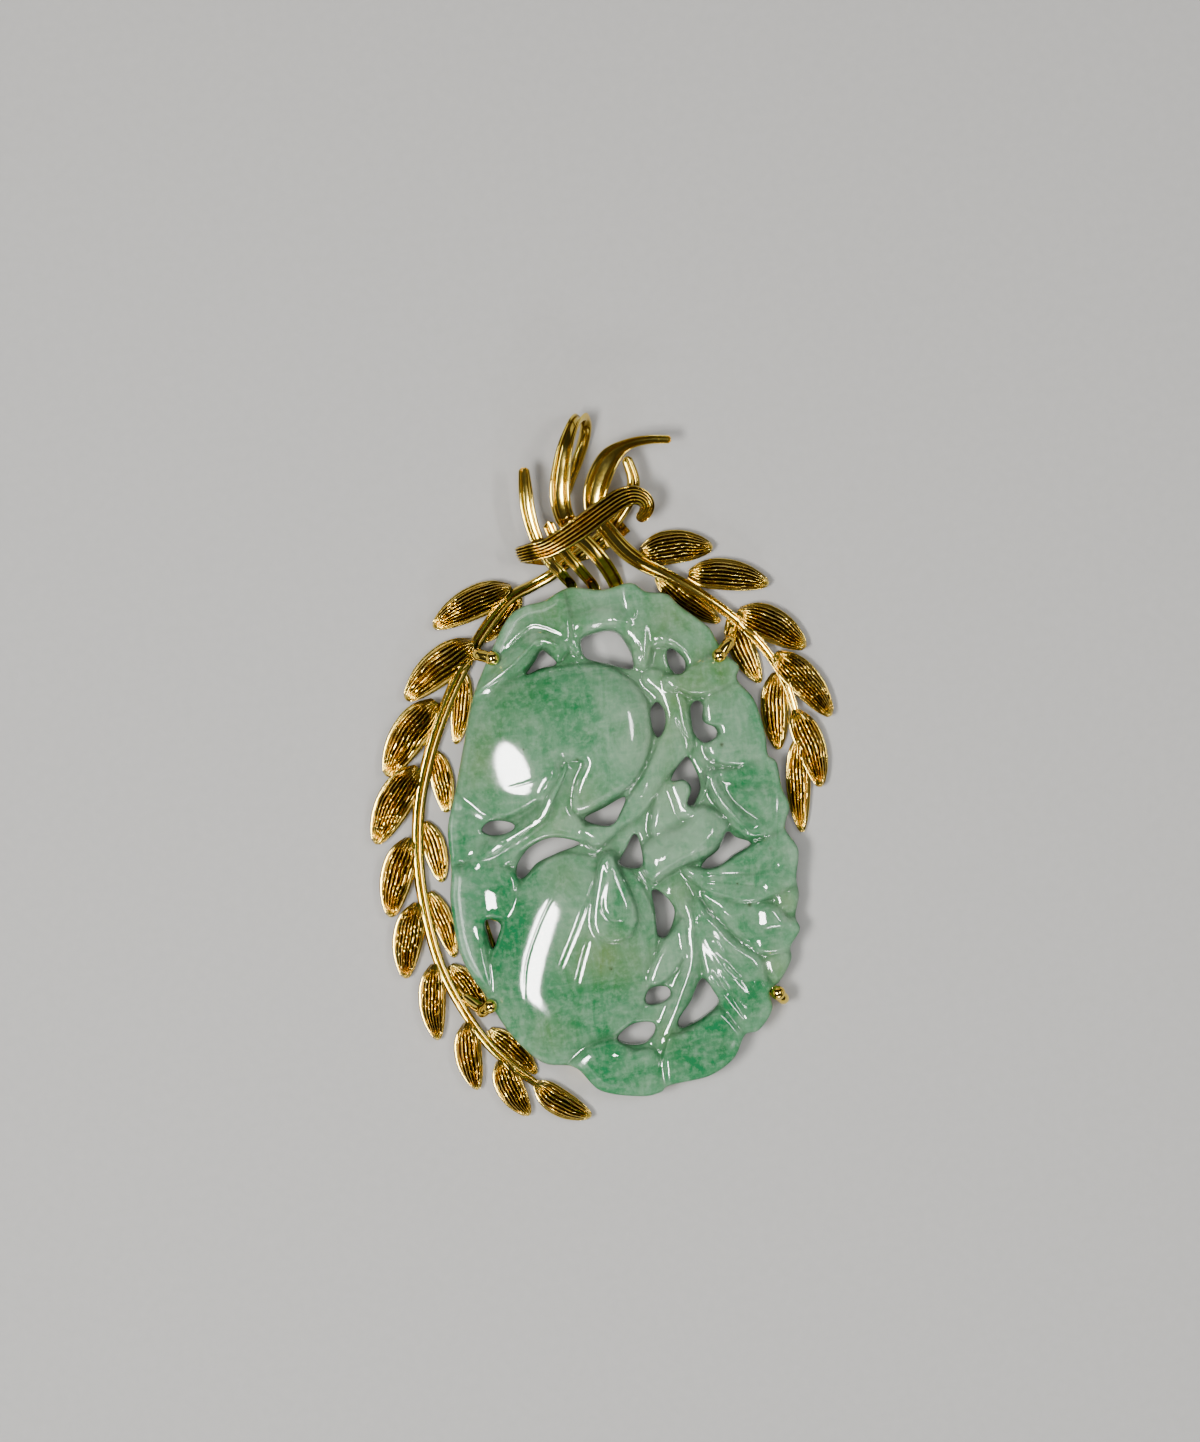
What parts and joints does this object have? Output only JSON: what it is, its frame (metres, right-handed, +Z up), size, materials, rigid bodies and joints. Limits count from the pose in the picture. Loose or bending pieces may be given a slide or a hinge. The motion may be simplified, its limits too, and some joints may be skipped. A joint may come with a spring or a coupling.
{
  "type": "jade carving",
  "caption": "Carved and pierced oval jade plaque of fruit and leaves in a gold leaf-spray pendant mount, with claws, a ribbed tie and a bent-over bail to hang it by; it lies on its back.",
  "frame": {"origin": "under the middle of the pendant's box, on the surface that it lies on", "axes": "+Z up out of the carved front, +Y along the stone's long axis towards the bail, +X to the right as the front is seen"},
  "size_m": [0.0552, 0.0817, 0.0074],
  "materials": {
    "jade": "polished, translucent green jadeite",
    "gold": "polished yellow gold with dark recesses"
  },
  "bodies": {
    "root": {"jade_plaque": "jade", "back_frame": "gold", "left_branch": "gold", "right_branch": "gold", "tie_band": "gold", "bail_stem": "gold", "middle_stem": "gold", "slim_stem": "gold"}
  },
  "joints": []
}
